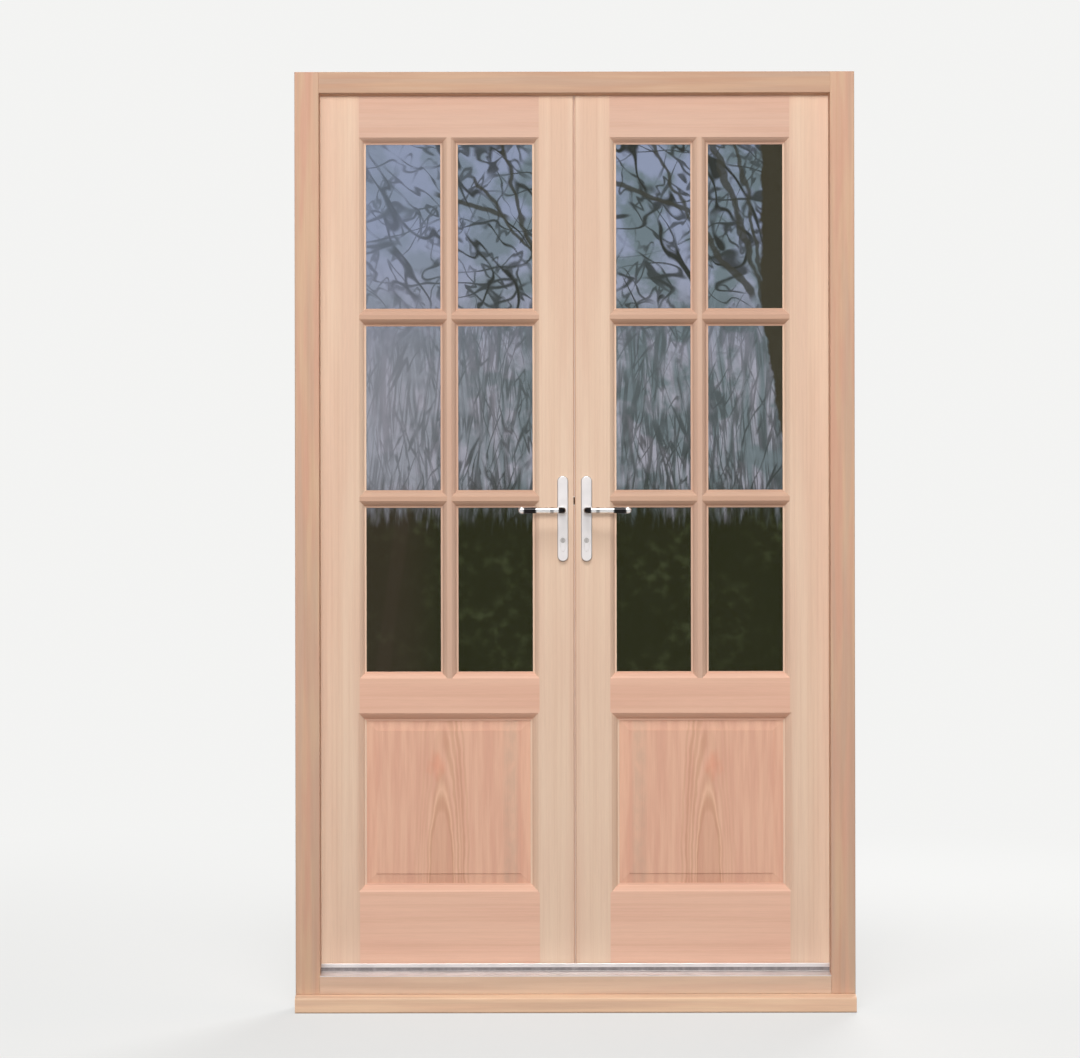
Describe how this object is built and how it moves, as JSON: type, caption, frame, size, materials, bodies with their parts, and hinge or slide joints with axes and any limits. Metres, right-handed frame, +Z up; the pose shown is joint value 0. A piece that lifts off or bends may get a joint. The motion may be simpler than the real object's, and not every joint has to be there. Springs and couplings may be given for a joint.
{
  "type": "pair of timber french doors in a frame",
  "caption": "Pair of glazed timber french doors in their own frame, with raised lower panels, lever handles, cill and threshold.",
  "frame": {"origin": "middle of the cill's underside, at the middle of the frame's depth", "axes": "+X to the right seen from outside, +Y into the building, +Z up"},
  "size_m": [1.266, 0.1806, 2.125],
  "materials": {
    "frame_timber": "bare sanded softwood, straight grain",
    "leaf_timber": "bare sanded softwood, fine straight grain",
    "panel_timber": "bare sanded softwood, arched grain",
    "glass": "clear float glass in sealed units",
    "chrome": "polished",
    "nickel": "satin nickel",
    "aluminium": "bright mill finish",
    "steel": "zinc plated",
    "rubber": "matt"
  },
  "bodies": {
    "frame": {"left_jamb": "frame_timber", "right_jamb": "frame_timber", "head": "frame_timber", "sill_rail": "frame_timber", "cill": "frame_timber", "threshold_bar": "aluminium", "threshold_seal": "rubber", "frame_seals": "rubber", "frame_hinge_plates": "steel", "hinge_pins": "steel", "frame_screws": "steel", "shoot_bolt_keeps": "steel"},
    "left_leaf": {"left_hinge_stile": "leaf_timber", "left_meeting_stile": "leaf_timber", "left_top_rail": "leaf_timber", "left_mid_rail": "leaf_timber", "left_bottom_rail": "leaf_timber", "left_vertical_bar": "leaf_timber", "left_cross_bars": "leaf_timber", "left_panel": "panel_timber", "left_panes": "glass", "left_pane_spacers": "aluminium", "left_glazing_beads": "leaf_timber", "left_leaf_hinge_plates": "steel", "left_leaf_screws": "steel", "left_meeting_seal": "rubber", "left_handle_plates": "chrome", "left_cylinder": "nickel", "left_lock_case": "steel"},
    "left_handle": {"left_outer_lever": "chrome", "left_inner_lever": "chrome", "left_spindle": "steel", "left_follower": "steel"},
    "left_key": {"left_key_plug": "nickel"},
    "right_leaf": {"right_hinge_stile": "leaf_timber", "right_meeting_stile": "leaf_timber", "right_top_rail": "leaf_timber", "right_mid_rail": "leaf_timber", "right_bottom_rail": "leaf_timber", "right_vertical_bar": "leaf_timber", "right_cross_bars": "leaf_timber", "right_panel": "panel_timber", "right_panes": "glass", "right_pane_spacers": "aluminium", "right_glazing_beads": "leaf_timber", "right_leaf_hinge_plates": "steel", "right_leaf_screws": "steel", "right_meeting_seal": "rubber", "right_handle_plates": "chrome", "right_cylinder": "nickel", "right_lock_case": "steel"},
    "right_handle": {"right_outer_lever": "chrome", "right_inner_lever": "chrome", "right_spindle": "steel", "right_follower": "steel"},
    "right_key": {"right_key_plug": "nickel"},
    "latch": {"latch_bolt": "nickel"},
    "lock_bolt": {"dead_bolt": "nickel"},
    "top_bolt": {"top_shoot_bolt": "steel"},
    "bottom_bolt": {"bottom_shoot_bolt": "steel"}
  },
  "joints": [
    {"name": "right_leaf_swing", "type": "hinge", "parent": "frame", "child": "right_leaf", "pos_m": [0.5885, 0.0535, 1], "axis": [0, 0, -1], "range_deg": [0, 100]},
    {"name": "left_leaf_swing", "type": "hinge", "parent": "frame", "child": "left_leaf", "pos_m": [-0.5885, 0.0535, 1], "axis": [0, 0, 1], "range_deg": [0, 100]},
    {"name": "right_lever_press", "type": "hinge", "parent": "right_leaf", "child": "right_handle", "pos_m": [0.027, 0.025, 1.133], "axis": [0, 1, 0], "range_deg": [0, 40], "stiffness_Nm_per_rad": 1.2, "springref_deg": -28.65},
    {"name": "left_lever_lift", "type": "hinge", "parent": "left_leaf", "child": "left_handle", "pos_m": [-0.027, 0.025, 1.133], "axis": [0, 1, 0], "range_deg": [0, 45]},
    {"name": "right_key_turn", "type": "hinge", "parent": "right_leaf", "child": "right_key", "pos_m": [0.027, 0.025, 1.065], "axis": [0, -1, 0], "range_deg": [0, 180.9]},
    {"name": "left_key_turn", "type": "hinge", "parent": "left_leaf", "child": "left_key", "pos_m": [-0.027, 0.025, 1.065], "axis": [0, 1, 0], "range_deg": [0, 180]},
    {"name": "latch_slide", "type": "slide", "parent": "right_leaf", "child": "latch", "axis": [1, 0, 0], "range_m": [0, 0.0101]},
    {"name": "dead_bolt_slide", "type": "slide", "parent": "right_leaf", "child": "lock_bolt", "axis": [-1, 0, 0], "range_m": [0, 0.02]},
    {"name": "top_bolt_slide", "type": "slide", "parent": "left_leaf", "child": "top_bolt", "axis": [0, 0, 1], "range_m": [0, 0.0181]},
    {"name": "bottom_bolt_slide", "type": "slide", "parent": "left_leaf", "child": "bottom_bolt", "axis": [0, 0, -1], "range_m": [0, 0.0181]}
  ],
  "couplings": [
    {"joint": "latch_slide", "follows": "right_lever_press", "m_per_rad": 0.014324},
    {"joint": "right_key_turn", "follows": "dead_bolt_slide", "rad_per_m": 157.08},
    {"joint": "top_bolt_slide", "follows": "left_lever_lift", "m_per_rad": 0.022918},
    {"joint": "bottom_bolt_slide", "follows": "left_lever_lift", "m_per_rad": 0.022918}
  ]
}
